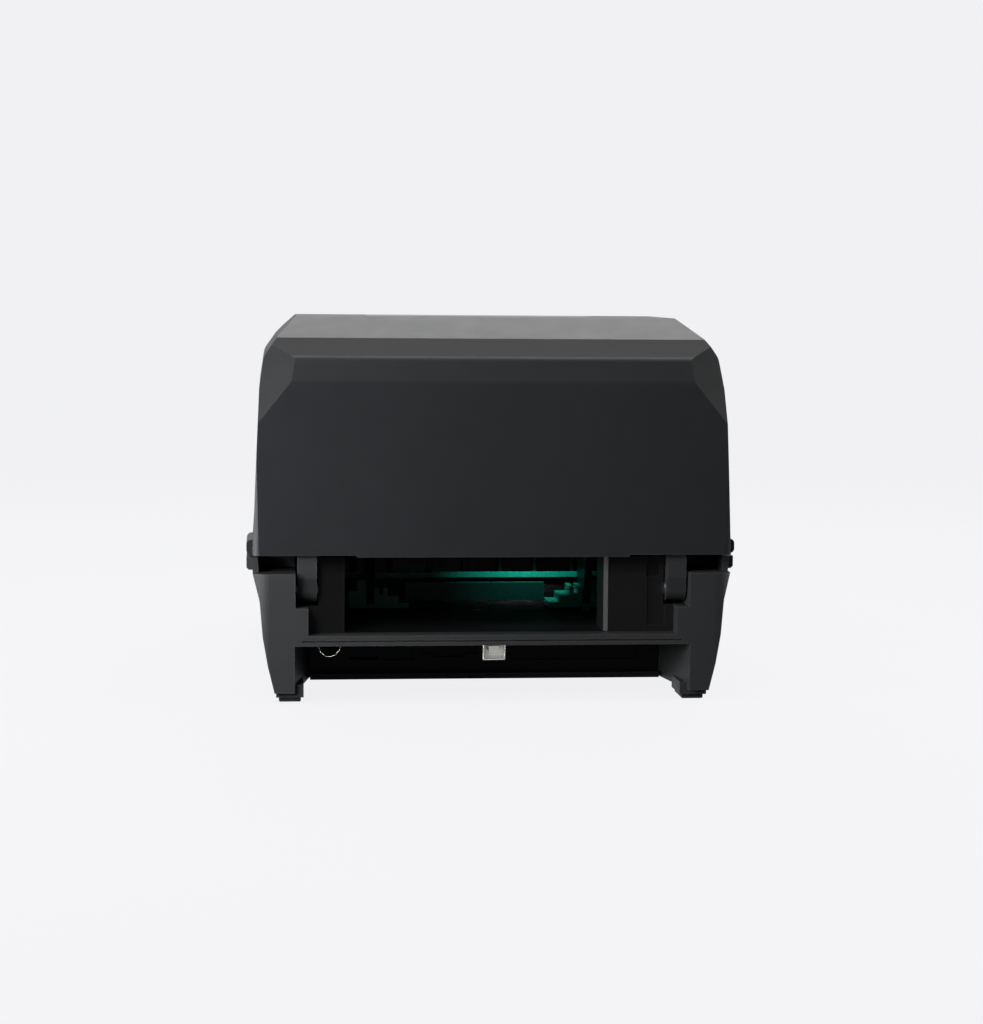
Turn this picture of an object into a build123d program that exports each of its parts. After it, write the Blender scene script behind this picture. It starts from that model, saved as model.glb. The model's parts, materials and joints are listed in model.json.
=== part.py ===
"""Thermal label printer: a clamshell desktop machine with a ribbon mechanism in its lid.

Millimetres. X runs across the machine, +Y points to its rear and +Z up. The origin lies on the
table, under the middle of the machine.
"""
from build123d import *
import math
import os

os.makedirs("parts", exist_ok=True)

# ---- driving dimensions ----
DEPTH = 312.0
REAR = DEPTH / 2
FRONT = -DEPTH / 2
BASE_BOTTOM = 5.0
BASE_TOP = 73.5
COLUMN_TOP = 66.0
COLUMN_FRONT = 146.0
POCKET_Y = 117.0            # front of the open pocket over each column
COLUMN_INNER = 101.2
LEDGE_Z = 48.5
LEDGE_INNER = 94.7
WALL = 3.0
SPLIT_Y = -146.0            # joint between front bezel and lower case

LID_BOTTOM = 75.2
LID_REAR = 154.0
LID_WALL = 2.6
LID_DROP = 12.0             # how far the hollow of the lid runs below its edge
CREST_Y = 104.0
CREST_Z = 196.2

HINGE_Y = 143.0
HINGE_Z = 57.0
HINGE_ARM_X = (90.2, 100.2)
HINGE_PIN_R = 3.0
FIT = 0.05                  # radial clearance of a running fit

SHELF_Z = (29.1, 34.4)
RECESS_Y = 106.0            # rear face of the port panel
RECESS_HALF_NEAR = 101.6
RECESS_HALF_FAR = 93.6

TRAY_FLOOR_Z = 34.6
TRAY_SKIN = 3.0
TRAY_HALF = 79.0
ROLL_Y = 62.0
ROLL_Z = 100.0
ROLL_CLEAR_R = 65.4
DECK_Z = (66.0, 69.0)
SLOT_X = (-58.2, 76.3)      # fan-fold slot
PANEL_Y = (141.0, 145.0)

PLATEN_Y = -122.0
PLATEN_Z = 66.0
PLATEN_R = 8.0
MEDIA_HALF = 56.0
SHAFT_R = 3.0
SIDE_PLATE_X = (80.0, 82.0)
GEAR_MODULE = 1.0
PLATEN_TEETH = 22
IDLER_SMALL_TEETH = 18
IDLER_LARGE_TEETH = 48
PINION_TEETH = 12
IDLER_ANGLE = -60.0
MOTOR_ANGLE = -20.0

SUPPLY_YZ = (-38.0, 132.0)
TAKEUP_YZ = (-100.0, 124.0)
TAKEUP_TEETH = 32
RIBBON_IDLER_TEETH = 20

GUIDE_PLATE_X = (57.4, 61.4)
GUIDE_TRAVEL = 38.0
GUIDE_FOOT_Y = (46.0, 68.0)
GUIDE_FOOT_Z = 37.2
GUIDE_Y = 57.0
RACK_PINION_TEETH = 12
RACK_Z = (24.5, 29.5)


# ---- helpers ----
def block(x0, x1, y0, y1, z0, z1):
    """Box between two corners."""
    return Pos((x0 + x1) / 2, (y0 + y1) / 2, (z0 + z1) / 2) * Box(x1 - x0, y1 - y0, z1 - z0)


def rod_x(radius, x0, x1, y, z):
    """Cylinder along X."""
    return Pos((x0 + x1) / 2, y, z) * Rot(0, 90, 0) * Cylinder(radius, x1 - x0)


def rod_y(radius, y0, y1, x, z):
    """Cylinder along Y."""
    return Pos(x, (y0 + y1) / 2, z) * Rot(90, 0, 0) * Cylinder(radius, y1 - y0)


def rod_z(radius, z0, z1, x, y):
    """Cylinder along Z."""
    return Pos(x, y, (z0 + z1) / 2) * Cylinder(radius, z1 - z0)


def side_prism(points, x0, x1):
    """Prism with an outline of (y, z) points, from x0 to x1."""
    return extrude(make_face(Plane.YZ.offset(x0) * Polyline(*points, close=True)), x1 - x0)


def rear_prism(points, y0, y1):
    """Prism with an outline of (x, z) points, from y0 to y1."""
    return extrude(make_face(Plane.XZ.offset(-y1) * Polyline(*points, close=True)), y1 - y0)


def plan_prism(points, z0, z1):
    """Prism with an outline of (x, y) points, from z0 to z1."""
    return extrude(make_face(Plane.XY.offset(z0) * Polyline(*points, close=True)), z1 - z0)


def both_sides(shape):
    """The shape and its mirror image across the middle plane."""
    return [shape, mirror(shape, Plane.YZ)]


def spur_gear(teeth, x0, x1, y, z, bore, phase=0.0):
    """Spur gear about X. phase is the angle of one tooth's centre, from +Y towards +Z, in degrees."""
    pitch_r = GEAR_MODULE * teeth / 2
    root_r = pitch_r - 1.2 * GEAR_MODULE
    tip_r = pitch_r + 0.9 * GEAR_MODULE
    step = 2 * math.pi / teeth
    outline = []
    for tooth in range(teeth):
        centre = tooth * step + math.radians(phase)
        for radius, share in ((root_r, -0.30), (tip_r, -0.10), (tip_r, 0.10), (root_r, 0.30)):
            angle = centre + share * step
            outline.append((y + radius * math.cos(angle), z + radius * math.sin(angle)))
    return side_prism(outline, x0, x1) - rod_x(bore, x0 - 1, x1 + 1, y, z)


def polar(centre, distance, angle):
    """Point at a distance and an angle in degrees from a centre, in the Y-Z plane."""
    return (centre[0] + distance * math.cos(math.radians(angle)),
            centre[1] + distance * math.sin(math.radians(angle)))


def mesh_phase(teeth, line_angle, partner_teeth, partner_phase):
    """Phase that puts a gear's gap on its partner's tooth along the line of centres."""
    partner_step = 360 / partner_teeth
    step = 360 / teeth
    offset = ((line_angle - partner_phase) / partner_step) % 1.0
    return line_angle + 180 + (offset + 0.5) * step


def save(shape, name):
    """Write one node."""
    if isinstance(shape, (list, ShapeList)):
        shape = Compound(children=list(shape))
    export_step(shape, f"parts/{name}.step")


# ---- lower case ----
def base_solid(inset, bottom=BASE_BOTTOM, top=BASE_TOP):
    """Outer form of the base, moved in by inset."""
    half = [(0, BASE_BOTTOM), (111.8, BASE_BOTTOM), (115.2, 19), (117.8, 34), (119.3, 52), (122.8, 66),
            (123.6, BASE_TOP)]
    right = [(x - inset if x else 0, z) for x, z in half]
    right[0] = (0, bottom)
    right[1] = (right[1][0], bottom)
    right[-1] = (right[-1][0], top)
    section = right + [(-x, z) for x, z in reversed(right[1:])]
    body = rear_prism(section, FRONT, REAR)
    plan = Plane.XY * Rectangle(2 * (126.5 - inset), DEPTH - 2 * inset)
    corners = plan.vertices()
    front_corners = [v for v in corners if v.Y < 0]
    rear_corners = [v for v in corners if v.Y > 0]
    plan = fillet(front_corners, 34 - inset)
    plan = fillet([v for v in plan.vertices() if v.Y > REAR - inset - 1], 12 - inset)
    body = body & extrude(Plane.XY.offset(bottom) * plan, top - bottom)
    side = [(FRONT + 4 + inset, bottom), (REAR - inset, bottom), (REAR - inset, top), (FRONT + inset, top),
            (FRONT + inset, 30)]
    return body & side_prism(side, -130, 130)


def recess(grow, y0, y1, z0, z1):
    """Tapered port recess, grown sideways."""
    slope = (RECESS_HALF_NEAR - RECESS_HALF_FAR) / (REAR - RECESS_Y)
    near = RECESS_HALF_NEAR + slope * (y1 - REAR) + grow
    far = RECESS_HALF_FAR + slope * (y0 - RECESS_Y) + grow
    return plan_prism([(-far, y0), (far, y0), (near, y1), (-near, y1)], z0, z1)


def base_shell():
    """Base walls, columns, shelf and bezel in one, before the split."""
    keep_recess = recess(WALL, 104, REAR - WALL, BASE_BOTTOM, SHELF_Z[1])
    keep_columns = block(-COLUMN_INNER - WALL, COLUMN_INNER + WALL, POCKET_Y, REAR, SHELF_Z[1], COLUMN_TOP)
    keep_caps = block(-125, 125, POCKET_Y, REAR, COLUMN_TOP - WALL, COLUMN_TOP)
    keep_bulkhead = block(-125, 125, POCKET_Y, POCKET_Y + WALL, COLUMN_TOP - WALL, BASE_TOP)
    keep_lugs = [rod_x(7, 100, 117, HINGE_Y, HINGE_Z), rod_x(7, -117, -100, HINGE_Y, HINGE_Z)]
    cavity = base_solid(WALL, BASE_BOTTOM - 5, BASE_TOP + 5)
    for keep in [keep_recess, keep_columns, keep_caps, keep_bulkhead] + keep_lugs:
        cavity = cavity - keep
    shell = base_solid(0) - cavity
    shell = shell - recess(0, 100, REAR + 1, BASE_BOTTOM - 1, SHELF_Z[0])
    shell = shell - block(-LEDGE_INNER, LEDGE_INNER, POCKET_Y - 1, REAR + 1, SHELF_Z[1], 90)
    shell = shell - block(-COLUMN_INNER, COLUMN_INNER, POCKET_Y - 1, REAR + 1, LEDGE_Z, 90)
    shell = shell - block(-130, 130, COLUMN_FRONT, REAR + 1, COLUMN_TOP, 90)
    seat = TRAY_HALF + 0.1
    shell = shell - block(-seat, seat, 100, PANEL_Y[1] + 0.1, TRAY_FLOOR_Z - TRAY_SKIN, 60)
    shell = shell - block(-LEDGE_INNER - 3, LEDGE_INNER + 3, REAR - 1.4, REAR + 1, 31.0, 31.9)
    for x0, x1 in ((90, 118), (-118, -90)):
        shell = shell - rod_x(HINGE_PIN_R, x0, x1, HINGE_Y, HINGE_Z)
    return shell


def rim_lips():
    """Lips on the upper edge of both sides, under the ears of the lid."""
    lip = block(121, 126.0, 104, 143, 67.0, BASE_TOP)
    lip = chamfer(lip.edges().filter_by(Axis.Y).group_by(Axis.Z)[0].sort_by(Axis.X)[-1:], 1.2)
    return both_sides(lip)


def make_case():
    shell = base_shell()
    lips = rim_lips()
    case = shell & block(-130, 130, SPLIT_Y, REAR + 1, 0, 90)
    for lip in lips:
        case = case + (lip - base_solid(WALL, 0, 90))
    for x0 in (97.0, -111.0):
        for y0 in (129.0, -134.0):
            case = case + block(x0, x0 + 14, y0, y0 + 24, 2.5, BASE_BOTTOM + 4)
    case = case - release_pocket(1) - release_pocket(-1)
    case = case - block(-126, -110, 30.5, 51.5, 19.5, 34.5)
    save(case, "lower_case")
    bezel = shell & block(-130, 130, FRONT - 1, SPLIT_Y, 0, 90)
    bezel = bezel + block(-95, 95, SPLIT_Y - 8, SPLIT_Y, 62, BASE_TOP)
    bezel = bezel - rod_y(7.3, FRONT - 1, SPLIT_Y + 9, 78, 50) - rod_y(2.6, FRONT - 1, SPLIT_Y + 9, 58, 50)
    save(bezel, "front_bezel")


def release_pocket(side):
    """Window in the side wall for a release latch."""
    window = block(105, 128, -62.4, -33.6, 51.6, 66.4)
    return window if side > 0 else mirror(window, Plane.YZ)


def make_base_trim():
    plate = block(-107.6, 107.6, -126, 103.5, BASE_BOTTOM, 8) + block(-93, 93, 103, 112, BASE_BOTTOM, 8)
    plate = plate + block(-88, 88, -148.6, -126, BASE_BOTTOM, 8)
    for x in range(-40, 41, 10):
        plate = plate - block(x - 1.5, x + 1.5, -60, -20, 0, 20)
    for x in (97.0, -111.0):
        plate = plate - block(x, x + 14, -134, -110, 0, 20)
    save(plate, "bottom_plate")
    feet = []
    for x0 in (98.4, -109.6):
        for y0 in (131.0, -132.0):
            pad = block(x0, x0 + 11.2, y0, y0 + 20, 0, 2.5)
            feet.append(chamfer(pad.edges().group_by(Axis.Z)[0], 0.5))
    save(feet, "rubber_feet")
    tear = side_prism([(-152, 73.5), (-144, 73.5), (-144, 74.3), (-151, 74.3), (-152, 74.9)], -58, 58)
    for tooth in range(57):
        tear = tear - plan_prism([(-57 + 2 * tooth, -152.5), (-56 + 2 * tooth, -151.2), (-55 + 2 * tooth, -152.5)], 73, 76)
    save(tear, "tear_bar")
    pins = both_sides(rod_x(HINGE_PIN_R, HINGE_ARM_X[0] - 0.6, 116, HINGE_Y, HINGE_Z))
    save(pins, "hinge_pins")
    heads = []
    for x in (-80, 80):
        for y in (-100, 90):
            heads.append(rod_z(3, BASE_BOTTOM - 1.2, BASE_BOTTOM, x, y) - block(x - 0.5, x + 0.5, y - 2, y + 2, 3, 4.4))
    save(heads, "case_screws")
    rocker_frame = block(-119.6, -108, 30.6, 51.4, 19.6, 34.4) - block(-122, -111, 33, 49, 22, 32)
    rocker_frame = rocker_frame - rod_y(1.0 + FIT, 32, 50, -116.4, 27)
    save(rocker_frame, "switch_frame")
    rocker = rod_y(4.4, 33.4, 48.6, -116.4, 27) & block(-119.8, -111.6, 33.4, 48.6, 22.6, 31.4)
    save(rocker + rod_y(1.0, 32.1, 49.9, -116.4, 27), "power_rocker")


# ---- media tray ----
def make_tray():
    roll_front = ROLL_Y - math.sqrt(ROLL_CLEAR_R ** 2 - (ROLL_Z - DECK_Z[1]) ** 2)
    outline = side_prism([(PANEL_Y[1], TRAY_FLOOR_Z - TRAY_SKIN), (PANEL_Y[1], TRAY_FLOOR_Z), (ROLL_Y, TRAY_FLOOR_Z),
                          (ROLL_Y, DECK_Z[1]), (-108, DECK_Z[1]), (-108, DECK_Z[0]), (roll_front - 4, DECK_Z[0]),
                          (roll_front + 22, TRAY_FLOOR_Z + 4), (ROLL_Y - 22, TRAY_FLOOR_Z - TRAY_SKIN)],
                         -TRAY_HALF, TRAY_HALF)
    tray = outline - rod_x(ROLL_CLEAR_R, -TRAY_HALF - 1, TRAY_HALF + 1, ROLL_Y, ROLL_Z)
    wall = side_prism([(PANEL_Y[1], TRAY_FLOOR_Z - TRAY_SKIN), (PANEL_Y[1], 73), (-108, 73), (-108, DECK_Z[0]),
                       (roll_front - 4, DECK_Z[0]), (roll_front + 22, TRAY_FLOOR_Z + 4),
                       (ROLL_Y - 22, TRAY_FLOOR_Z - TRAY_SKIN)], TRAY_HALF - TRAY_SKIN, TRAY_HALF)
    for side in both_sides(wall):
        tray = tray + side
    panel = block(-89.4, 89.4, PANEL_Y[0], PANEL_Y[1], TRAY_FLOOR_Z - 0.2, 73.4)
    panel = panel + block(-LEDGE_INNER + 0.2, LEDGE_INNER - 0.2, PANEL_Y[0], PANEL_Y[1], TRAY_FLOOR_Z - 0.2, LEDGE_Z)
    panel = panel - block(SLOT_X[0], SLOT_X[1], 130, 150, TRAY_FLOOR_Z, 80)
    panel = panel - block(-90, -80.6, PANEL_Y[1] - 1.0, PANEL_Y[1] + 1, TRAY_FLOOR_Z + 3, 80)
    panel = panel - block(-87, -80, PANEL_Y[1] - 2.4, PANEL_Y[1] + 1, 63, 71)
    tray = tray + panel
    tray = tray + block(SLOT_X[0] - 3, SLOT_X[0], 118, PANEL_Y[1], TRAY_FLOOR_Z - 0.2, 73.4)
    edge = SLOT_X[0]
    tray = tray - plan_prism([(edge + 1, PANEL_Y[1] - 3.0), (edge + 1, PANEL_Y[1] + 1), (edge - 2.0, PANEL_Y[1] + 1),
                              (edge - 2.0, PANEL_Y[1]), (edge, PANEL_Y[1] - 2.0)], TRAY_FLOOR_Z, 80)
    for side in both_sides(block(TRAY_HALF - 1, 119.4, -30, 116.8, 69.5, 72)):
        tray = tray + side
    for x in (45.7, 24.4, 4.2, -15.9, -36.0, -56.8, -65.2, 66.0):
        fin = side_prism([(0, 60), (22.5, 50), (22.5, 60), (14, 68), (0, 68)], x - 0.8, x + 0.8)
        tray = tray + fin
    lane = GUIDE_PLATE_X[0] - GUIDE_TRAVEL - 0.8
    for side, slot_y in ((1, GUIDE_Y - 7), (-1, GUIDE_Y + 7)):
        slot = block(lane, GUIDE_PLATE_X[1] + 0.8, slot_y - 2.6, slot_y + 2.6, 25, 50)
        tray = tray - (slot if side > 0 else mirror(slot, Plane.YZ))
    tray = tray - rod_z(2.2, 25, 50, 0, GUIDE_Y)
    tray = tray - block(-52, 52, -93, -83, 60, 75)
    for side in both_sides(block(56, 59, -92, -84, 59.7, DECK_Z[0])):
        tray = tray + side
    for x0, x1 in ((55, 60), (-60, -55)):
        tray = tray - rod_x(2.0, x0, x1, -88, 62.5)
    save(tray, "media_tray")
    inner = TRAY_HALF - TRAY_SKIN
    save(block(-inner, inner, 23.0, 26.0, 49.2, 52.0), "guide_rail")
    cover = block(-38.9, 38.9, 38, 41.5, 36, 48) & rod_x(ROLL_CLEAR_R, -50, 50, ROLL_Y, ROLL_Z)
    save(cover, "rack_cover")
    save(rod_x(2.0, -59, 59, -88, 62.5), "sensor_rail")
    save(block(-6, 6, -91.6, -84.4, 59.4, 68.4) - rod_x(2.0 + FIT, -10, 10, -88, 62.5), "gap_sensor")


def guide_outline():
    """Upright plate that holds one side of the label roll, as a (y, z) outline."""
    return [(GUIDE_FOOT_Y[0] + 1, GUIDE_FOOT_Z + 2.3), (GUIDE_FOOT_Y[1] - 1, GUIDE_FOOT_Z + 2.3),
            (84, 72), (84, 112), (74, 122), (50, 122), (40, 112), (36, 72)]


def rack(x0, x1, y_back, y_pitch, toward):
    """Rack bar along X with its teeth pointing toward +1 or -1 along Y, meshing a pinion."""
    pitch = math.pi * GEAR_MODULE
    root = y_pitch - toward * 1.2 * GEAR_MODULE
    tip = y_pitch + toward * 0.9 * GEAR_MODULE
    bar = block(x0, x1, min(y_back, root), max(y_back, root), RACK_Z[0], RACK_Z[1])
    first = math.ceil((x0 + 1) / pitch - 0.5)
    last = math.floor((x1 - 1) / pitch - 0.5)
    for tooth in range(first, last + 1):
        x = (tooth + 0.5) * pitch
        base = root - toward * 0.2
        bar = bar + plan_prism([(x - 0.9, base), (x - 0.35, tip), (x + 0.35, tip), (x + 0.9, base)], *RACK_Z)
    return bar


def make_guides():
    """Two media guides on crossed racks with one pinion between them."""
    x0, x1 = GUIDE_PLATE_X
    foot_y0, foot_y1 = GUIDE_FOOT_Y
    pitch_r = GEAR_MODULE * RACK_PINION_TEETH / 2
    steps = [(38.5, x0, 37.2, 40), (44, x0, 40, 44), (50, x0, 44, 48.2), (x0, x1, 37.2, 39.5),
             (x1, 66.5, 37.2, 52.5), (66.5, 71.4, 37.2, 46.5)]
    for side, name in ((1, "left"), (-1, "right")):
        plate = side_prism(guide_outline(), x0, x1)
        foot = block(38.5, x0, foot_y0, foot_y1, 37.2, 40)
        for step_x0, step_x1, z0, z1 in steps[1:]:
            foot = foot + block(step_x0, step_x1, foot_y0, foot_y1, z0, z1)
        foot = foot - block(52.5, 55.0, foot_y0 - 1, foot_y1 + 1, 44.6, 50)
        hub = rod_x(12.4, x0 - 7, x0, ROLL_Y, ROLL_Z) - rod_x(8, x0 - 8, x0 - 1, ROLL_Y, ROLL_Z)
        hub = hub + rod_x(30, x0 - 1.6, x0, ROLL_Y, ROLL_Z)
        neck_y = GUIDE_Y - side * 7
        neck = block(x0, x1, neck_y - 2, neck_y + 2, RACK_Z[1], GUIDE_FOOT_Z)
        if side < 0:
            plate, foot, hub, neck = [mirror(part, Plane.YZ) for part in (plate, foot, hub, neck)]
        ends = (-16, 62) if side > 0 else (-62, 16)
        bar = rack(ends[0], ends[1], GUIDE_Y - side * 10.6, GUIDE_Y - side * pitch_r, side)
        save(plate + hub, f"media_guide_plate_{name}")
        save(foot + neck + bar, f"media_guide_foot_{name}")
    pinion = spur_gear(RACK_PINION_TEETH, 0, RACK_Z[1] - RACK_Z[0], 0, 0, 0.8)
    pinion = Pos(0, GUIDE_Y, RACK_Z[0]) * Rot(0, -90, 0) * pinion
    axle = rod_z(0.8, RACK_Z[0], RACK_Z[1], 0, GUIDE_Y) + rod_z(2.1, RACK_Z[1], TRAY_FLOOR_Z, 0, GUIDE_Y)
    save(pinion + axle, "guide_pinion")


# ---- ports and electronics ----
def rounded_cut(x0, x1, z0, z1):
    """Cutter through the port panel."""
    return block(x0, x1, RECESS_Y - 5, RECESS_Y + 3, z0, z1)


def serial_outline(grow, y0, y1):
    """D-shaped blank with a screw lobe at each side."""
    body = block(10.5 - grow, 27.5 + grow, y0, y1, 15.8 - grow, 25.5 + grow)
    lobes = block(4.2 - grow, 34 + grow, y0, y1, 17.6 - grow, 23.6 + grow)
    return body + lobes


def make_ports():
    """Port panel with its sockets and knock-out blanks."""
    y0, y1 = RECESS_Y - 2, RECESS_Y
    half = RECESS_HALF_FAR - 0.6
    panel = block(-half, half, y0, y1, 8, SHELF_Z[0])
    jack_x, jack_z = 82.8, 22.6
    panel = panel - rod_y(6.0, y0 - 1, y1 + 1, jack_x, jack_z)
    panel = panel - rounded_cut(-11.2, 1.4, 13.9, 25.5)
    panel = panel - rounded_cut(56, 73, 9.5, 24.6)
    panel = panel - rounded_cut(38, 54.4, 14.2, 27)
    panel = panel - serial_outline(0, y0 - 1, y1 + 1)
    panel = panel - rounded_cut(-82, -14, 14.0, 26.5)
    panel = panel + block(54.8, 55.6, y1, y1 + 0.9, 8, SHELF_Z[0])
    panel = panel - block(73.9, 74.6, y1 - 0.8, y1 + 1, 8.4, SHELF_Z[0] + 1)
    for x0, x1 in ((-84, -12.5), (3, 55.5)):
        panel = panel + block(x0, x1, y0 - 0.8, y0 + 0.5, 10, SHELF_Z[0] - 0.4)
    panel = panel + (serial_outline(1.0, y1, y1 + 0.5) - serial_outline(0, y1 - 1, y1 + 1))
    for x0, x1, z0, z1 in ((38, 54.4, 14.2, 27), (-82, -14, 14.0, 26.5), (56, 73, 9.5, 24.6)):
        rim = block(x0 - 0.7, x1 + 0.7, y1, y1 + 0.4, z0 - 0.7, z1 + 0.7) - block(x0, x1, y1 - 1, y1 + 1, z0, z1)
        panel = panel + rim
    save(panel, "port_panel")
    card = block(56.1, 72.9, y0, y1, 9.6, 24.5) - block(57, 72, y0 - 1, y1 + 1, 14.4, 16.0)
    save(card, "card_slot_cover")
    lan = block(38.5, 53.9, y0 + 0.5, y1 - 0.9, 14.7, 26.5) + block(45.4, 49.4, y1 - 0.9, y1 + 0.5, 19.6, 22.4)
    save(lan, "lan_blank")
    save(serial_outline(-0.5, y0 + 0.5, y1 - 0.9), "serial_blank")
    parallel = block(-81.5, -14.5, y0 + 0.5, y1 - 0.9, 14.5, 26.0)
    parallel = parallel - block(-66.4, -64.4, y0 - 1, y1 + 1, 14, 16)
    parallel = parallel + block(-55.2, -52.6, y1 - 0.9, y1 + 0.5, 19.6, 22.4)
    save(parallel, "parallel_blank")
    shell = block(-10.9, 1.1, 90, y1 + 0.8, 14.1, 25.2) - block(-10.3, 0.5, 91, y1 + 2, 14.7, 24.6)
    save(shell, "usb_shell")
    tongue = block(-7.7, -2.1, 91, y1 - 0.6, 18.1, 21.3) + block(-10.3, 0.5, 91, 93, 14.7, 24.6)
    save(tongue, "usb_tongue")
    jack = rod_y(5.95, 90, y1 + 2.2, jack_x, jack_z) - rod_y(5.0, y1 + 0.4, y1 + 3, jack_x, jack_z)
    jack = jack - rod_y(3.3, 92, y1 + 2, jack_x, jack_z)
    save(jack + block(jack_x - 5.5, jack_x + 5.5, 90, 103, 14.2, 18), "dc_jack")
    save(rod_y(1.0, 92, y1 - 1, jack_x, jack_z), "dc_pin")
    board = block(-88, 89, 12, 103, 12.6, 14.1)
    for x in (-84, 85):
        for y in (17, 80):
            board = board - rod_z(1.6, 12, 15, x, y)
    save(board, "main_board")
    posts = []
    for x in (-84, 85):
        for y in (17, 80):
            posts.append(rod_z(3.2, 8, 12.6, x, y) + rod_z(1.6, 12.6, 14.1, x, y) + rod_z(2.8, 14.1, 15.6, x, y))
    save(posts, "board_posts")
    chips = [block(-20, 0, 40, 60, 14.1, 16.3), block(-52, -36, 30, 46, 14.1, 16.3), block(20, 34, 30, 38, 14.1, 16.3),
             block(-70, -58, 70, 90, 14.1, 22), block(60, 82, 20, 28, 14.1, 20)]
    for x, y in ((45, 84), (58, 84), (71, 76), (-30, 80)):
        chips.append(rod_z(4.2, 14.1, 23.4, x, y))
    save(chips, "board_components")


# ---- drive ----
IDLER_YZ = polar((PLATEN_Y, PLATEN_Z), GEAR_MODULE * (PLATEN_TEETH + IDLER_SMALL_TEETH) / 2, IDLER_ANGLE)
MOTOR_YZ = polar(IDLER_YZ, GEAR_MODULE * (IDLER_LARGE_TEETH + PINION_TEETH) / 2, MOTOR_ANGLE)


def make_drive():
    """Stepper motor, compound idler, platen roller and the plates that carry them."""
    plate_outline = [(-140, 9), (-56, 9), (-56, 62), (-104, 62), (-112, 76), (-134, 76), (-140, 70)]
    x0, x1 = SIDE_PLATE_X
    bush_hole_r = 6.0
    left = side_prism(plate_outline, x0, x1) - rod_x(bush_hole_r, x0 - 1, x1 + 1, PLATEN_Y, PLATEN_Z)
    right = mirror(left, Plane.YZ)
    left = left - rod_x(4, x0 - 1, x1 + 1, *IDLER_YZ) - rod_x(11.2, x0 - 1, x1 + 1, *MOTOR_YZ)
    save([left, right], "side_plates")
    bush = rod_x(bush_hole_r, x0 - 0.0, x1, PLATEN_Y, PLATEN_Z) + rod_x(7.5, x0 - 1.2, x0, PLATEN_Y, PLATEN_Z)
    bush = bush - rod_x(SHAFT_R + FIT, x0 - 3, x1 + 3, PLATEN_Y, PLATEN_Z)
    save(both_sides(bush), "platen_bushes")
    save(rod_x(SHAFT_R, -85, 89, PLATEN_Y, PLATEN_Z), "platen_shaft")
    roller = rod_x(PLATEN_R, -MEDIA_HALF, MEDIA_HALF, PLATEN_Y, PLATEN_Z)
    save(roller - rod_x(SHAFT_R, -60, 60, PLATEN_Y, PLATEN_Z), "platen_rubber")
    small_phase = mesh_phase(IDLER_SMALL_TEETH, IDLER_ANGLE, PLATEN_TEETH, 0)
    pinion_phase = mesh_phase(PINION_TEETH, MOTOR_ANGLE, IDLER_LARGE_TEETH, 0)
    save(spur_gear(PLATEN_TEETH, 84.5, 88.5, PLATEN_Y, PLATEN_Z, SHAFT_R), "platen_gear")
    idler = spur_gear(IDLER_SMALL_TEETH, 84.0, 90.0, *IDLER_YZ, SHAFT_R + FIT, small_phase)
    idler = idler + spur_gear(IDLER_LARGE_TEETH, 90.0, 94.0, *IDLER_YZ, SHAFT_R + FIT, 0)
    save(idler, "idler_gear")
    save(rod_x(4, x0, x1, *IDLER_YZ) + rod_x(5.5, x1, 83.6, *IDLER_YZ) + rod_x(SHAFT_R, 83.6, 95.5, *IDLER_YZ), "idler_stud")
    motor_y, motor_z = MOTOR_YZ
    body = block(46, 79.0, motor_y - 21, motor_y + 21, motor_z - 21, motor_z + 21)
    body = chamfer(body.edges().filter_by(Axis.X), 4)
    body = body + rod_x(11, 79.0, 81.6, motor_y, motor_z) + block(79.0, x0, motor_y - 21, motor_y + 21, motor_z - 20, motor_z + 20)
    body = body - rod_x(2.5 + FIT, 60, 84, motor_y, motor_z)
    save(body, "stepper_motor")
    pinion = spur_gear(PINION_TEETH, 89.6, 94.4, motor_y, motor_z, 2.0, pinion_phase)
    save(pinion + rod_x(2.5, 61, 95, motor_y, motor_z), "motor_pinion")


# ---- lid ----
def lid_solid(inset, drop=0.0):
    """Outer form of the lid, moved in by inset and reaching drop below its edge."""
    bottom = LID_BOTTOM - drop
    outline = Polyline((LID_REAR, bottom), (153.7, 163.5), (149.9, 175.5), (137, 185.4), (CREST_Y, CREST_Z),
                       (20, CREST_Z + 0.7), (-48, 190),
                       (-126, 146), (-151, 104), (-153, bottom), close=True)
    side = make_face(Plane.YZ.offset(-130) * outline)
    side = fillet([v for v in side.vertices() if abs(v.Y - 153.7) < 0.1], 8)
    side = fillet([v for v in side.vertices() if abs(v.Y - 149.9) < 0.1], 6)
    side = fillet([v for v in side.vertices() if abs(v.Y + 126) < 0.1 or abs(v.Y + 48) < 0.1], 40)
    half = [(122.9, bottom), (121.1, 120), (119.4, 160), (117.0, 176), (110.2, 186), (96.8, 200)]
    section = half + [(-x, z) for x, z in reversed(half)]
    rear = make_face(Plane.XZ.offset(-160) * Polyline(*section, close=True))
    rear = fillet([v for v in rear.vertices() if abs(v.Z - 176) < 0.1 or abs(v.Z - 186) < 0.1], 9)
    plan = Plane.XY.offset(bottom) * Pos(0, (LID_REAR - 153) / 2) * Rectangle(252.4, LID_REAR + 153)
    plan = fillet([v for v in plan.vertices() if v.Y < 0], 32)
    plan = fillet([v for v in plan.vertices() if v.Y > LID_REAR - 1], 7)
    if inset:
        side, rear, plan = [offset(face, amount=-inset, kind=Kind.INTERSECTION) for face in (side, rear, plan)]
    body = extrude(side, 260) & extrude(rear, 320)
    body = body & extrude(plan, 140)
    corner = Plane(origin=(103.6, 153.5, 163.5), x_dir=(0.897, -0.443, 0), z_dir=(0.417, 0.844, 0.3375))
    cutter = corner.offset(-inset) * (Pos(0, 0, 50) * Box(200, 200, 100))
    return body - cutter - mirror(cutter, Plane.YZ)


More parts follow.
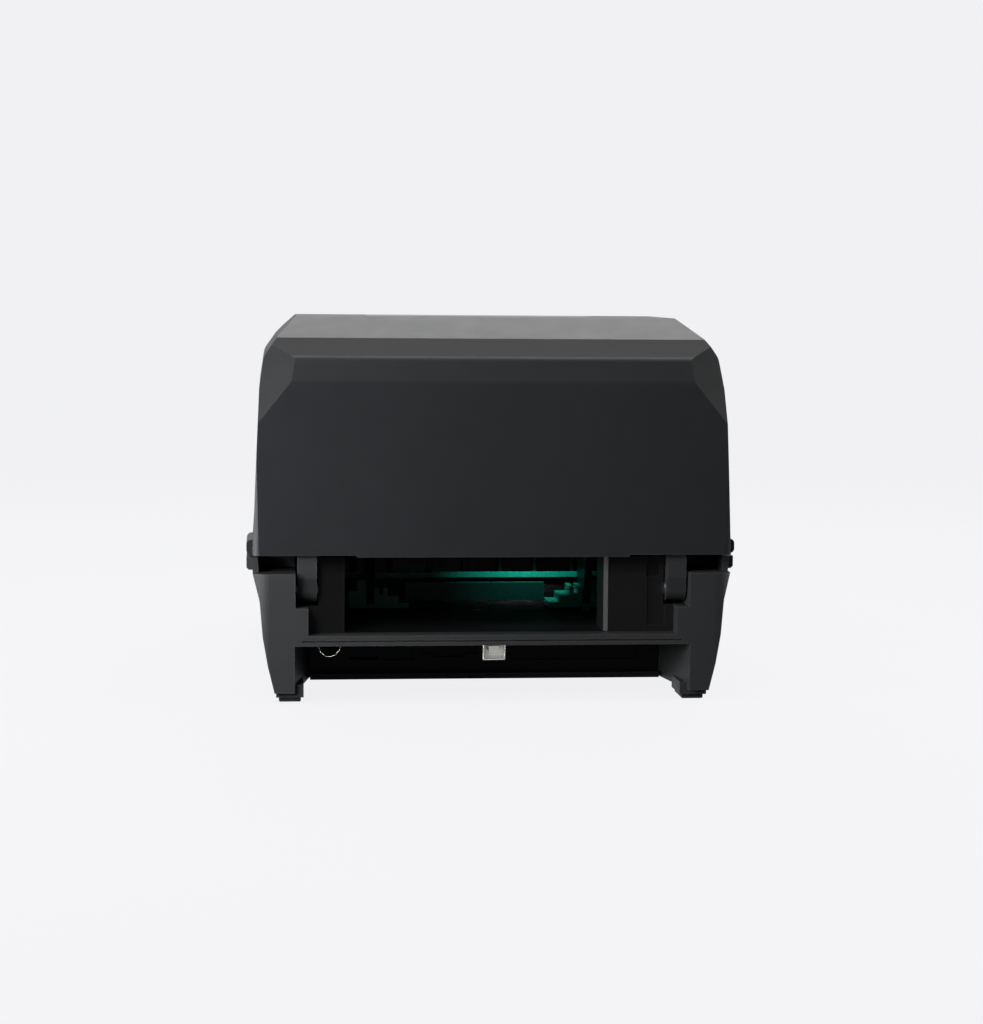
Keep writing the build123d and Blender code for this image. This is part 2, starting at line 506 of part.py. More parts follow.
def make_lid():
    """Lid shell with its window, hinge arms and latch catches."""
    shell = lid_solid(0) - lid_solid(LID_WALL, LID_DROP)
    shell = shell - block(-60, 60, -160, -130, LID_BOTTOM - 1, 80.4)
    shell = shell + block(-70, 70, LID_REAR - 2.4, LID_REAR - 0.1, LID_BOTTOM - 1, LID_BOTTOM + 1)
    for side in (1, -1):
        shell = shell + block(min(side * 114.4, side * 121), max(side * 114.4, side * 121), -54, -42, 80.4, 84.2)
    ear = block(119, 126, 106, LID_REAR - 8, LID_BOTTOM, LID_BOTTOM + 7.5)
    ear = fillet(ear.edges().filter_by(Axis.Y).group_by(Axis.X)[-1], 2.4) - lid_solid(LID_WALL, LID_DROP)
    for side in both_sides(ear):
        shell = shell + side
    window_zone = block(-62, 62, -36, 66, 150, 210)
    glass = shell & block(-61.8, 61.8, -35.8, 65.8, 150, 210)
    shell = shell - window_zone
    save(shell, "lid_shell")
    save(glass, "lid_window")
    x0, x1 = HINGE_ARM_X
    arm = side_prism([(HINGE_Y - 6.5, HINGE_Z), (HINGE_Y + 6.5, HINGE_Z), (HINGE_Y + 7.6, 63), (HINGE_Y + 7.6, 100),
                      (HINGE_Y - 3, 100), (HINGE_Y - 6.5, 80)], x0, x1)
    arm = arm + rod_x(6.5, x0, x1, HINGE_Y, HINGE_Z)
    arm = arm - rod_x(HINGE_PIN_R + FIT, x0 - 1, x1 + 1, HINGE_Y, HINGE_Z)
    save(both_sides(arm), "hinge_arms")


def make_latches():
    """Side buttons whose hooks hold the lid down."""
    for side, name in ((1, "left"), (-1, "right")):
        latch = block(112, 124.4, -62, -34, 52, 66)
        latch = chamfer(latch.edges().filter_by(Axis.Z).group_by(Axis.X)[-1], 2)
        latch = latch + block(106.6, 112, -54, -42, 56, 64) + block(106.6, 109.6, -54, -42, 56, 88.4)
        latch = latch + block(109.6, 116.9, -54, -42, 84.6, 88.4)
        save(latch if side > 0 else mirror(latch, Plane.YZ), f"release_latch_{name}")


# ---- print and ribbon mechanism in the lid ----
def make_print_mechanism():
    """Frame that hangs in the lid and carries the printhead and the ribbon."""
    x0, x1 = 66.0, 69.0
    ribbon_idler = polar(TAKEUP_YZ, GEAR_MODULE * (TAKEUP_TEETH + RIBBON_IDLER_TEETH) / 2, 60.0)
    outline = [(-142, 90), (-112, 82), (-24, 104), (-14, 126), (-22, 160), (-60, 168), (-104, 150), (-130, 118)]
    plate = side_prism(outline, x0, x1)
    plate = plate - rod_x(3 + FIT, x0 - 1, x1 + 1, *SUPPLY_YZ) - rod_x(3 + FIT, x0 - 1, x1 + 1, *TAKEUP_YZ)
    window = side_prism([(-84, 104), (-52, 108), (-60, 120), (-76, 118)], x0 - 1, x1 + 1)
    plate = plate - window
    frame = plate + mirror(plate, Plane.YZ)
    frame = frame + block(-x0, x0, -128, -112, 96, 99) + block(-x0, x0, -78, -62, 158, 161)
    frame = frame + block(-x0, x0, -24, -20, 104.6, 118)
    for x in (-58, 58):
        frame = frame + block(x - 5, x + 5, -75, -65, 161, 171)
        frame = frame + (block(x - 5, x + 5, -75, -65, 170, 200) & lid_solid(LID_WALL, LID_DROP))
    frame = frame + rod_x(3, x1 - 1, 75.5, *ribbon_idler) + rod_x(5, x1 - 1, 69.8, *ribbon_idler)
    frame = frame + rod_x(3, -77.2, -x1 + 1, -104, 109) + rod_x(5, -71.6, -x1 + 1, -104, 109)
    save(frame, "print_frame")
    carrier = block(-60, 60, -134, -110, 82, 85.5) + block(-60, 60, -134, -130, 85.5, 92)
    save(carrier, "head_carrier")
    sink = block(-57, 57, -130, -112, 77, 82)
    for row in range(5):
        sink = sink - block(-58, 58, -128.6 + row * 3.4, -127.0 + row * 3.4, 79, 83)
    save(sink, "printhead_heatsink")
    save(block(-57, 57, -128, -116, PLATEN_Z + PLATEN_R + 0.5, 77), "printhead")
    springs = []
    for x in (-34, 34):
        springs.append(rod_z(3.5, 85.5, 96, x, -120) - rod_z(2.6, 85, 97, x, -120))
    save(springs, "head_springs")
    for (y, z), name in ((SUPPLY_YZ, "supply"), (TAKEUP_YZ, "takeup")):
        right_end = 75.0 if name == "takeup" else 71.0
        spindle = rod_x(9.5, -60, 60, y, z) + rod_x(3, -71, right_end, y, z) + rod_x(5, -65.4, 65.4, y, z)
        spindle = spindle + rod_x(14, -60, -57.5, y, z)
        for spoke in range(3):
            rib = block(-52, 52, -1.2, 1.2, 9, 12.2)
            spindle = spindle + Pos(0, y, z) * Rot(120 * spoke, 0, 0) * rib
        save(spindle, f"ribbon_{name}_spindle")
    save(spur_gear(TAKEUP_TEETH, 70.0, 74.0, *TAKEUP_YZ, 3.0), "takeup_gear")
    phase = mesh_phase(RIBBON_IDLER_TEETH, 60.0, TAKEUP_TEETH, 0)
    save(spur_gear(RIBBON_IDLER_TEETH, 70.0, 74.0, *ribbon_idler, 3 + FIT, phase), "ribbon_idler_gear")
    lever = side_prism([(-112, 108), (-104, 104), (-96, 108), (-96, 114), (-112, 114)], -76, -72)
    lever = lever + block(-76, -72, -132, -108, 108, 114) + block(-84, -72, -134, -126, 106, 115)
    save(lever - rod_x(3 + FIT, -77, -71, -104, 109), "head_lever")
    guides = [rod_x(2, -66, 66, -136, 96), rod_x(2, -66, 66, -92, 92)]
    save(guides, "ribbon_guide_bars")


# ---- front controls ----
def make_controls():
    """Feed button and status light in the front bezel."""
    y_face = FRONT + 2.2
    button = rod_y(7.0, y_face - 1.6, y_face + 6, 78, 50)
    button = chamfer(button.edges().group_by(Axis.Y)[0], 0.8)
    save(button, "feed_button")
    save(rod_y(2.6, y_face - 0.2, y_face + 3.5, 58, 50), "status_lens")


make_case()
make_base_trim()
make_tray()
make_guides()
make_ports()
make_drive()
make_lid()
make_latches()
make_print_mechanism()
make_controls()
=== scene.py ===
"""Looks, light and camera for the thermal label printer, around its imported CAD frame. Metres."""

import json
import math

import bmesh
import bpy
from mathutils import Matrix, Vector


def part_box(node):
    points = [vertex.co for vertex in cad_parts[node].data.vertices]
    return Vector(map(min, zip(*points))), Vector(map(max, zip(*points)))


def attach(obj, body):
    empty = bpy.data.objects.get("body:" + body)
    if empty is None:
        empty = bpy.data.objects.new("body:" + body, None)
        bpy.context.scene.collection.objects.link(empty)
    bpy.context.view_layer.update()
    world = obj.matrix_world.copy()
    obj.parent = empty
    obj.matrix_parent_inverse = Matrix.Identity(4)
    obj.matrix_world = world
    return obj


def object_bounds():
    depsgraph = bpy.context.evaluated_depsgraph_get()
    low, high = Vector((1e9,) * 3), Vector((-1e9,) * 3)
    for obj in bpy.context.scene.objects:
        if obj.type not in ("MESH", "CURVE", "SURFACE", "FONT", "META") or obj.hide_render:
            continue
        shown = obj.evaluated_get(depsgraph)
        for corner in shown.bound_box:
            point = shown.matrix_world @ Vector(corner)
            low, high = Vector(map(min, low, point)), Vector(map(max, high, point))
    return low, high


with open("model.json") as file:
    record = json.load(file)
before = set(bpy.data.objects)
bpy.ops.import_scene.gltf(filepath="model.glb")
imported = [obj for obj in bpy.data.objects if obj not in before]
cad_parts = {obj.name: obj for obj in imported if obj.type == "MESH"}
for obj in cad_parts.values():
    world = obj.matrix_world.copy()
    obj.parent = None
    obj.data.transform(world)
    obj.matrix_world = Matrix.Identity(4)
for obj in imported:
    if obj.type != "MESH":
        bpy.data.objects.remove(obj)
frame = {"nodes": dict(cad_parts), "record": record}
cad_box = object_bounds()
nodes = frame["nodes"]


# ---- node helpers ----
def new_material(name):
    """A material with a Principled shader, returned with its node tree and shader."""
    material = bpy.data.materials.new(name)
    material.use_nodes = True
    tree = material.node_tree
    return material, tree, tree.nodes["Principled BSDF"]


def object_coordinates(tree):
    """Object coordinates, which are metres in the shared frame."""
    return tree.nodes.new("ShaderNodeTexCoord").outputs["Object"]


def noise(tree, scale, detail=4.0, roughness=0.55, stretch=(1, 1, 1)):
    """Noise value over the object, with its coordinates stretched."""
    mapping = tree.nodes.new("ShaderNodeMapping")
    mapping.inputs["Scale"].default_value = stretch
    tree.links.new(object_coordinates(tree), mapping.inputs["Vector"])
    texture = tree.nodes.new("ShaderNodeTexNoise")
    texture.inputs["Scale"].default_value = scale
    texture.inputs["Detail"].default_value = detail
    texture.inputs["Roughness"].default_value = roughness
    tree.links.new(mapping.outputs["Vector"], texture.inputs["Vector"])
    return texture.outputs["Fac"]


def span(tree, value, low, high, out_low, out_high):
    """Maps a value from one range to another, clamped."""
    node = tree.nodes.new("ShaderNodeMapRange")
    node.inputs["From Min"].default_value = low
    node.inputs["From Max"].default_value = high
    node.inputs["To Min"].default_value = out_low
    node.inputs["To Max"].default_value = out_high
    tree.links.new(value, node.inputs["Value"])
    return node.outputs["Result"]


def tint(tree, value, dark, light):
    """Colour that runs from dark to light with a value."""
    node = tree.nodes.new("ShaderNodeMix")
    node.data_type = "RGBA"
    node.inputs["A"].default_value = (*dark, 1)
    node.inputs["B"].default_value = (*light, 1)
    tree.links.new(value, node.inputs["Factor"])
    return node.outputs["Result"]


def bump(tree, shader, layers):
    """Chains bump layers of (height, distance in metres, strength) into the shader's normal."""
    normal = None
    for height, distance, strength in layers:
        node = tree.nodes.new("ShaderNodeBump")
        node.inputs["Distance"].default_value = distance
        node.inputs["Strength"].default_value = strength
        tree.links.new(height, node.inputs["Height"])
        if normal is not None:
            tree.links.new(normal, node.inputs["Normal"])
        normal = node.outputs["Normal"]
    tree.links.new(normal, shader.inputs["Normal"])


def edge_highlight_mask(tree, radius=0.0012):
    """Mask for a painted edge highlight: about 1 on sharp edges and 0 on flats, from the difference between a
    rounded and a true normal.
    """
    bevel = tree.nodes.new("ShaderNodeBevel")
    bevel.samples = 4
    bevel.inputs["Radius"].default_value = radius
    geometry = tree.nodes.new("ShaderNodeNewGeometry")
    dot = tree.nodes.new("ShaderNodeVectorMath")
    dot.operation = "DOT_PRODUCT"
    tree.links.new(bevel.outputs["Normal"], dot.inputs[0])
    tree.links.new(geometry.outputs["Normal"], dot.inputs[1])
    return span(tree, dot.outputs["Value"], 0.80, 0.995, 1.0, 0.0)


# ---- materials ----
def moulded_plastic(name, dark, light, rough, grain_scale, grain_depth, specular=0.5):
    """Moulded plastic: spark grain, slow flow variation in roughness, and faintly lighter edges that are a
    painted edge highlight.
    """
    material, tree, shader = new_material(name)
    flow = noise(tree, 14, 3, 0.5, (1, 1, 0.4))
    colour = tint(tree, flow, dark, light)
    # painted edge highlight: sharp edges get a lighter colour that stands in for the highlights on their rounded
    # edges
    painted_edge_highlight = tree.nodes.new("ShaderNodeMix")
    painted_edge_highlight.data_type = "RGBA"
    painted_edge_highlight.inputs["B"].default_value = tuple(min(1, 2.2 * c + 0.01) for c in light) + (1,)
    tree.links.new(colour, painted_edge_highlight.inputs["A"])
    tree.links.new(span(tree, edge_highlight_mask(tree), 0, 1, 0, 0.45), painted_edge_highlight.inputs["Factor"])
    tree.links.new(painted_edge_highlight.outputs["Result"], shader.inputs["Base Color"])
    gloss = span(tree, noise(tree, 90, 5), 0.3, 0.7, rough - 0.02, rough + 0.02)
    tree.links.new(gloss, shader.inputs["Roughness"])
    shader.inputs["Specular IOR Level"].default_value = specular
    fine = noise(tree, grain_scale, 2, 0.6)
    coarse = noise(tree, grain_scale * 0.35, 3, 0.6)
    bump(tree, shader, [(coarse, grain_depth, 0.5), (fine, grain_depth * 0.6, 0.5)])
    return material


def brushed_metal(name, colour, rough=0.32, along=(1, 0.02, 1)):
    """Metal with fine lines along one direction and slightly uneven gloss."""
    material, tree, shader = new_material(name)
    lines = noise(tree, 900, 3, 0.7, along)
    shader.inputs["Metallic"].default_value = 1.0
    tree.links.new(tint(tree, lines, tuple(0.82 * c for c in colour), colour), shader.inputs["Base Color"])
    tree.links.new(span(tree, lines, 0.2, 0.8, rough - 0.08, rough + 0.1), shader.inputs["Roughness"])
    bump(tree, shader, [(lines, 0.00002, 0.4)])
    return material


def green_plastic(name="teal_touch_plastic", dark=(0.0, 0.24, 0.165), light=(0.005, 0.34, 0.235)):
    """Glossy teal touch-point plastic with flow marks."""
    material, tree, shader = new_material(name)
    flow = noise(tree, 40, 4, 0.5, (0.4, 1, 1))
    tree.links.new(tint(tree, flow, dark, light), shader.inputs["Base Color"])
    tree.links.new(span(tree, noise(tree, 260, 3), 0.3, 0.7, 0.22, 0.34), shader.inputs["Roughness"])
    shader.inputs["Coat Weight"].default_value = 0.25
    shader.inputs["Coat Roughness"].default_value = 0.12
    bump(tree, shader, [(noise(tree, 700, 2), 0.00002, 0.5)])
    return material


def smoked_window():
    """Smoked clear plastic with faint moulding ripples."""
    material, tree, shader = new_material("smoked_window")
    ripple = noise(tree, 25, 2)
    tree.links.new(tint(tree, ripple, (0.05, 0.05, 0.052), (0.07, 0.07, 0.073)), shader.inputs["Base Color"])
    shader.inputs["Roughness"].default_value = 0.06
    shader.inputs["Transmission Weight"].default_value = 0.75
    shader.inputs["IOR"].default_value = 1.5
    bump(tree, shader, [(ripple, 0.0001, 0.15)])
    return material


def circuit_board():
    """Solder mask over a grid of tracks."""
    material, tree, shader = new_material("circuit_board")
    brick = tree.nodes.new("ShaderNodeTexBrick")
    brick.inputs["Scale"].default_value = 160
    brick.inputs["Mortar Size"].default_value = 0.03
    brick.inputs["Color1"].default_value = (0.006, 0.07, 0.035, 1)
    brick.inputs["Color2"].default_value = (0.008, 0.09, 0.045, 1)
    brick.inputs["Mortar"].default_value = (0.02, 0.2, 0.1, 1)
    tree.links.new(object_coordinates(tree), brick.inputs["Vector"])
    tree.links.new(brick.outputs["Color"], shader.inputs["Base Color"])
    tree.links.new(span(tree, noise(tree, 120), 0.3, 0.7, 0.25, 0.4), shader.inputs["Roughness"])
    bump(tree, shader, [(brick.outputs["Fac"], 0.00004, 0.5)])
    return material


def rubber(name, shade):
    """Dull rubber with a ground surface."""
    material, tree, shader = new_material(name)
    grain = noise(tree, 1400, 3)
    tree.links.new(tint(tree, grain, tuple(0.8 * c for c in shade), shade), shader.inputs["Base Color"])
    tree.links.new(span(tree, grain, 0.3, 0.7, 0.62, 0.82), shader.inputs["Roughness"])
    bump(tree, shader, [(grain, 0.00005, 0.6)])
    return material


def glazed_ceramic():
    """Pale ceramic printhead strip with fine specks."""
    material, tree, shader = new_material("glazed_ceramic")
    speck = noise(tree, 800, 2)
    tree.links.new(tint(tree, speck, (0.62, 0.6, 0.54), (0.74, 0.72, 0.66)), shader.inputs["Base Color"])
    tree.links.new(span(tree, speck, 0.3, 0.7, 0.12, 0.24), shader.inputs["Roughness"])
    bump(tree, shader, [(speck, 0.00001, 0.4)])
    return material


# slot: (material, dark and light colour, roughness, grain scale, grain depth in metres)
MOULDED = {
    "lid_black": ("satin_lid_plastic", (0.013, 0.0135, 0.0145), (0.016, 0.0165, 0.0175), 0.42, 2600, 0.00004),
    "case_black": ("spark_case_plastic", (0.016, 0.0165, 0.017), (0.023, 0.0235, 0.024), 0.5, 1500, 0.00013),
    "tray_black": ("tray_plastic", (0.005, 0.005, 0.0055), (0.008, 0.008, 0.0085), 0.45, 1900, 0.00005),
    "chip_black": ("fine_black_plastic", (0.012, 0.012, 0.013), (0.018, 0.018, 0.019), 0.45, 2400, 0.00004),
    "gear_nylon": ("gear_nylon", (0.62, 0.61, 0.57), (0.7, 0.69, 0.65), 0.4, 1800, 0.00003),
    "motor_black": ("painted_motor", (0.015, 0.015, 0.017), (0.03, 0.03, 0.033), 0.35, 900, 0.00005),
    "lens_clear": ("frosted_lens", (0.2, 0.5, 0.33), (0.3, 0.62, 0.42), 0.3, 1200, 0.00003),
}

MATERIALS = {slot: moulded_plastic(*look) for slot, look in MOULDED.items()}
MATERIALS.update({
    "smoke_window": smoked_window(),
    "teal_green": green_plastic(),
    "steel": brushed_metal("brushed_steel", (0.56, 0.57, 0.58)),
    "aluminium": brushed_metal("extruded_aluminium", (0.74, 0.75, 0.76), 0.36),
    "brass": brushed_metal("turned_brass", (0.75, 0.56, 0.26), 0.28),
    "nickel": brushed_metal("nickel_plate", (0.78, 0.78, 0.76), 0.2),
    "rubber": rubber("moulded_rubber", (0.018, 0.018, 0.018)),
    "board_green": circuit_board(),
    "ceramic": glazed_ceramic(),
})

# painted shade: a darker copy of the teal plastic, for the rack cover where it lies in shade in the media bay
SHADED_TEAL = ((0.0, 0.035, 0.027), (0.0, 0.06, 0.045))

# CAD nodes whose outer edges get a small moulded radius, in metres
EDGE_RADIUS = {
    "lid_shell": 0.0010, "lower_case": 0.0008, "front_bezel": 0.0008, "hinge_arms": 0.0008, "media_tray": 0.0005,
    "rubber_feet": 0.0005, "rack_cover": 0.0004, "guide_rail": 0.0003, "media_guide_foot_left": 0.0004,
    "media_guide_foot_right": 0.0004, "media_guide_plate_left": 0.0005, "media_guide_plate_right": 0.0005,
    "release_latch_left": 0.0005, "release_latch_right": 0.0005, "head_lever": 0.0005, "usb_shell": 0.0002,
    "feed_button": 0.0004, "port_panel": 0.0002,
}


BEVEL_FROM = math.radians(32)        # edges flatter than this stay as they are


def dress_nodes():
    """Gives each CAD node its material and its moulded edge radius."""
    for part in frame["record"]["subparts"]:
        node = nodes[part["node"]]
        node.data.materials.clear()
        node.data.materials.append(MATERIALS[part["material_slot"]])
        # the rack cover gets the darker copy of the teal plastic, which is painted shade
        if part["node"] == "rack_cover":
            node.data.materials[0] = green_plastic("teal_plastic_painted_shade", *SHADED_TEAL)
        radius = EDGE_RADIUS.get(part["node"])
        if radius:
            edge = node.modifiers.new("moulded_edge", "BEVEL")
            edge.width = radius
            edge.segments = 2
            edge.limit_method = "ANGLE"
            edge.angle_limit = BEVEL_FROM
            edge.harden_normals = False
            shading = node.modifiers.new("even_shading", "WEIGHTED_NORMAL")
            shading.keep_sharp = True


# ---- small pieces around the ports ----
# (radius, distance along +Y from the jack's rear end) round the rim's section, in metres
RIM_SECTION = [(0.00548, -0.0012), (0.00592, -0.0012), (0.00602, -0.0006), (0.00600, 0.0001),
               (0.00585, 0.00032), (0.00566, 0.00032), (0.00550, 0.0001), (0.00545, -0.0006)]
RIM_STEPS = 72
# (x, z) outline of a contact tab, and (distance behind its face, size) at its three levels, in metres
TAB_OUTLINE = [(-0.0009, -0.0016), (0.0009, -0.0016), (0.0009, 0.0012), (0.0006, 0.0016), (-0.0006, 0.0016),
               (-0.0009, 0.0012)]
TAB_LEVELS = [(0.0010, 1.0), (0.0002, 1.0), (0.0, 0.8)]
TAB_Z = 0.0236
TAB_PROUD = 0.0002
NETWORK_TAB_SHIFT = 0.0012           # from the middle of the network blank
PARALLEL_TAB_INSET = 0.0394          # from the left end of the parallel blank
SMOOTH_FROM = 20                     # a piece with more faces than this is shaded smooth


def jack_ring():
    """Polished rim around the power jack, turned about the jack's axis."""
    rear_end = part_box("dc_jack")[1][1]
    pin_low, pin_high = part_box("dc_pin")
    centre = Vector(((pin_low[0] + pin_high[0]) / 2, rear_end, (pin_low[2] + pin_high[2]) / 2))
    points, faces = [], []
    for step in range(RIM_STEPS):
        angle = 2 * math.pi * step / RIM_STEPS
        for radius, along in RIM_SECTION:
            points.append(centre + Vector((radius * math.cos(angle), along, radius * math.sin(angle))))
    count = len(RIM_SECTION)
    for step in range(RIM_STEPS):
        for k in range(count):
            a, b = step * count + k, step * count + (k + 1) % count
            shift = ((step + 1) % RIM_STEPS - step) * count
            faces.append((a, b, b + shift, a + shift))
    ring = new_piece("jack_ring", points, faces, MATERIALS["nickel"])


def contact_tab(name, x, y):
    """Small plated tab with a tapered end, at x, with its face at y."""
    points = [(x + dx * size, y - behind, TAB_Z + dz * size)
              for behind, size in TAB_LEVELS for dx, dz in TAB_OUTLINE]
    count = len(TAB_OUTLINE)
    faces = [tuple(reversed(range(count))), tuple(range(2 * count, 3 * count))]
    for level in range(len(TAB_LEVELS) - 1):
        for k in range(count):
            a, b = level * count + k, level * count + (k + 1) % count
            faces.append((a, b, b + count, a + count))
    tab = new_piece(name, points, faces, MATERIALS["nickel"])


def new_piece(name, points, faces, material):
    """Mesh piece on the base, with its faces turned outwards."""
    mesh = bpy.data.meshes.new(name)
    mesh.from_pydata([tuple(p) for p in points], [], faces)
    mesh.materials.append(material)
    work = bmesh.new()
    work.from_mesh(mesh)
    bmesh.ops.recalc_face_normals(work, faces=work.faces)
    work.to_mesh(mesh)
    work.free()
    for face in mesh.polygons:
        face.use_smooth = len(faces) > SMOOTH_FROM
    piece = bpy.data.objects.new(name, mesh)
    bpy.context.collection.objects.link(piece)
    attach(piece, "base")
    return piece


def make_port_details():
    """Jack rim, and the tabs in the network and parallel blanks."""
    jack_ring()
    low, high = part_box("lan_blank")
    contact_tab("network_tab", (low[0] + high[0]) / 2 + NETWORK_TAB_SHIFT, high[1] + TAB_PROUD)
    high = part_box("parallel_blank")[1]
    contact_tab("parallel_tab", high[0] - PARALLEL_TAB_INSET, high[1] + TAB_PROUD)


# ---- stage, light and camera ----
PALE = (0.879, 0.879, 0.896)         # the backdrop's colour, seen by the camera only
STUDIO_DARK = (0.05, 0.05, 0.053)    # what lights the part from all but the front
STUDIO_FRONT = (0.5, 0.5, 0.515)     # what lights the part from the front
FRONT_FADE = (-0.9, -0.1)            # where, along Y of a direction, the front turns dark
FLOOR_GLOW = 0.97                    # share of the pale colour the floor shows even in shadow
FLOOR_COLOURS = ((0.05, 0.05, 0.051), (0.055, 0.055, 0.056))
FLOOR_RADIUS = 2.0
FLOOR_FADE = (0.35, 1.9)             # the floor is solid inside the first radius, clear outside the second
FLOOR_DROP = 0.0001                  # keeps the floor clear of the feet


def make_stage():
    """Round pale floor whose edge fades into the backdrop."""
    material, tree, shader = new_material("pale_floor")
    mottling = noise(tree, 3, 2)
    tree.links.new(tint(tree, mottling, *FLOOR_COLOURS), shader.inputs["Base Color"])
    shader.inputs["Roughness"].default_value = 0.9
    shader.inputs["Specular IOR Level"].default_value = 0.1
    shader.inputs["Emission Color"].default_value = (*PALE, 1)
    shader.inputs["Emission Strength"].default_value = FLOOR_GLOW
    length = tree.nodes.new("ShaderNodeVectorMath")
    length.operation = "LENGTH"
    tree.links.new(object_coordinates(tree), length.inputs[0])
    clear = tree.nodes.new("ShaderNodeBsdfTransparent")
    blend = tree.nodes.new("ShaderNodeMixShader")
    tree.links.new(span(tree, length.outputs["Value"], *FLOOR_FADE, 0, 1), blend.inputs["Fac"])
    tree.links.new(shader.outputs["BSDF"], blend.inputs[1])
    tree.links.new(clear.outputs["BSDF"], blend.inputs[2])
    tree.links.new(blend.outputs["Shader"], tree.nodes["Material Output"].inputs["Surface"])
    bpy.ops.mesh.primitive_circle_add(vertices=96, radius=FLOOR_RADIUS, fill_type="NGON",
                                      location=(0, 0, -FLOOR_DROP))
    floor = bpy.context.object
    floor.name = "pale_floor"
    floor.data.materials.append(material)
    floor.visible_diffuse = False
    floor.visible_glossy = False


def softbox(name, place, target, size, power, colour):
    """Rectangular area light at a place, aimed at a target."""
    data = bpy.data.lights.new(name, "AREA")
    data.shape = "RECTANGLE"
    data.size = size[0]
    data.size_y = size[1]
    data.energy = power
    data.color = colour
    light = bpy.data.objects.new(name, data)
    bpy.context.collection.objects.link(light)
    direction = Vector(target) - Vector(place)
    light.matrix_world = Matrix.Translation(place) @ direction.to_track_quat("-Z", "Y").to_matrix().to_4x4()
    return light


def light_only(light, names):
    """Lets a light fall on the named objects only, as a flag would in a studio."""
    lit = bpy.data.collections.new(light.name + "_lit")
    for name in names:
        lit.objects.link(nodes.get(name) or bpy.data.objects[name])
    light.light_linking.receiver_collection = lit


def make_world():
    """Pale backdrop for the camera, over a dark studio with a paler front that lights the part."""
    world = bpy.data.worlds.new("studio")
    bpy.context.scene.world = world
    world.use_nodes = True
    tree = world.node_tree
    direction = tree.nodes.new("ShaderNodeTexCoord").outputs["Generated"]
    split = tree.nodes.new("ShaderNodeSeparateXYZ")
    tree.links.new(direction, split.inputs["Vector"])
    front = span(tree, split.outputs["Y"], *FRONT_FADE, 0, 1)
    studio = tint(tree, front, STUDIO_FRONT, STUDIO_DARK)
    seen = tree.nodes.new("ShaderNodeMix")
    seen.data_type = "RGBA"
    seen.inputs["B"].default_value = (*PALE, 1)
    tree.links.new(studio, seen.inputs["A"])
    tree.links.new(tree.nodes.new("ShaderNodeLightPath").outputs["Is Camera Ray"], seen.inputs["Factor"])
    background = tree.nodes["Background"]
    tree.links.new(seen.outputs["Result"], background.inputs["Color"])
    background.inputs["Strength"].default_value = 1.0


WHITE = (1, 1, 1)
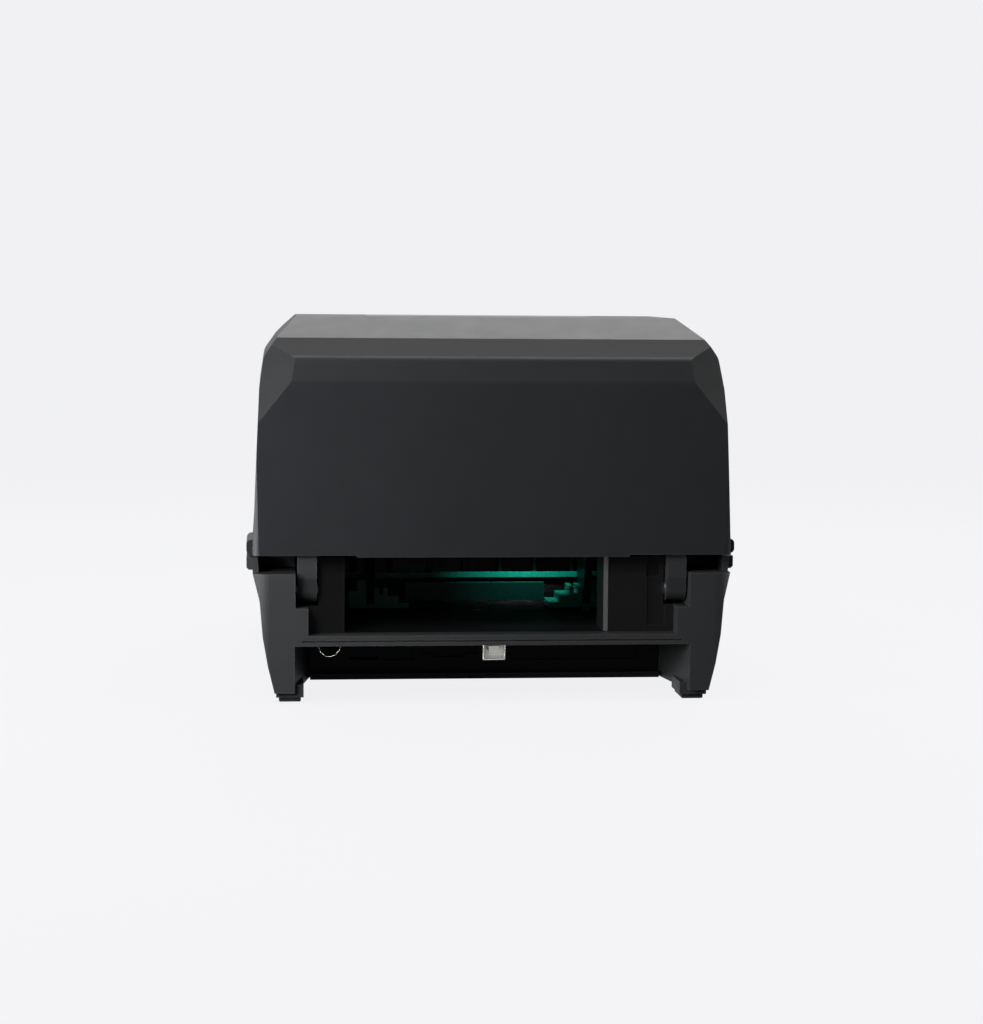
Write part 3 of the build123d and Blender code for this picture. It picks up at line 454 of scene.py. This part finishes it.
# (name, place, target, size, power in watts, colour, the only objects it lights: none means all of them)
SOFTBOXES = [
    ("key", (0.75, 1.0, 0.12), (0, 0.15, 0.1), (0.45, 0.45), 9.5, (0.92, 0.97, 1.06),
     ("lid_shell", "front_bezel")),
    ("low_key", (0.38, 0.46, 0.18), (0.1, 0.15, 0.05), (0.2, 0.2), 2.0, (0.95, 0.98, 1.03),
     ("lower_case", "hinge_arms", "rubber_feet", "hinge_pins")),
    ("port_glint", (0.1, 0.7, 0.03), (0.0, 0.107, 0.02), (0.3, 0.05), 1.5, WHITE,
     ("usb_shell", "usb_tongue", "jack_ring", "network_tab", "parallel_tab")),
    ("high_key", (0.7, 1.25, 0.75), (0, 0.15, 0.1), (0.5, 0.4), 4, (0.95, 0.98, 1.04),
     ("lower_case", "media_tray", "hinge_arms", "front_bezel", "port_panel", "rubber_feet")),
    ("top", (0.0, 0.25, 1.9), (0, 0.15, 0.17), (1.6, 0.6), 13, WHITE, ()),
    ("crest_strip", (0.0, -1.1, 1.0), (0, 0.1, 0.19), (1.6, 0.4), 6.5, WHITE, ()),
    ("side_strip", (1.2, 0.5, 0.25), (0, 0.12, 0.08), (0.3, 0.5), 9, WHITE, ()),
    ("far_side_strip", (-1.2, 0.2, 0.25), (0, 0.1, 0.08), (0.3, 0.5), 5, WHITE, ()),
    ("left_corner", (0.52, 1.02, 0.95), (0.115, 0.15, 0.15), (0.25, 0.2), 3.4, WHITE, ()),
    ("right_corner", (-0.75, 0.95, 0.95), (-0.115, 0.15, 0.15), (0.25, 0.2), 0.3, WHITE, ()),
    ("bay_glow", (-0.03, 0.06, 0.14), (-0.03, 0.026, 0.05), (0.012, 0.012), 0.02, WHITE,
     ("guide_rail", "rack_cover", "media_guide_foot_left", "media_guide_foot_right")),
]
BAY_GLOW_SPREAD = math.radians(54)


def make_light():
    """Studio world, the keys on the printer's left, a top light, edge strips and a glow in the media bay."""
    make_world()
    for name, place, target, size, power, colour, lit in SOFTBOXES:
        light = softbox(name, place, target, size, power, colour)
        if name == "bay_glow":
            light.data.spread = BAY_GLOW_SPREAD
        if lit:
            light_only(light, lit)


REAR_PLANE = cad_box[1][1]
VIEW_DISTANCE = 1.2
VIEW_AZIMUTH = math.radians(5.5)
VIEW_HEIGHT = 0.2026
VIEW_ROLL = math.radians(0.4)
SENSOR_WIDTH = 36.0
FOCAL_PIXELS = 2365.0
FRAME_LONG_SIDE = 1024.0
PITCH = math.radians(5.0)
AIM_OFFSET = math.radians(0.08)      # how far the axis passes to the right of the rear face's middle
CLIP = (0.05, 30)


def make_camera():
    """Camera behind the printer, a little to its left side, looking slightly down."""
    data = bpy.data.cameras.new("photo_camera")
    data.sensor_width = SENSOR_WIDTH
    data.lens = SENSOR_WIDTH * FOCAL_PIXELS / FRAME_LONG_SIDE
    data.clip_start, data.clip_end = CLIP
    camera = bpy.data.objects.new("photo_camera", data)
    bpy.context.collection.objects.link(camera)
    reach = Vector((math.sin(VIEW_AZIMUTH), math.cos(VIEW_AZIMUTH), 0)) * VIEW_DISTANCE
    place = Vector((0.0, REAR_PLANE, VIEW_HEIGHT)) + reach
    heading = VIEW_AZIMUTH - AIM_OFFSET
    look = Vector((-math.sin(heading), -math.cos(heading), -math.tan(PITCH)))
    turn = look.to_track_quat("-Z", "Y").to_matrix().to_4x4()
    camera.matrix_world = Matrix.Translation(place) @ turn @ Matrix.Rotation(VIEW_ROLL, 4, "Z")
    bpy.context.scene.camera = camera


bpy.context.scene.view_settings.view_transform = "Standard"
dress_nodes()
make_port_details()
make_stage()
make_light()
make_camera()
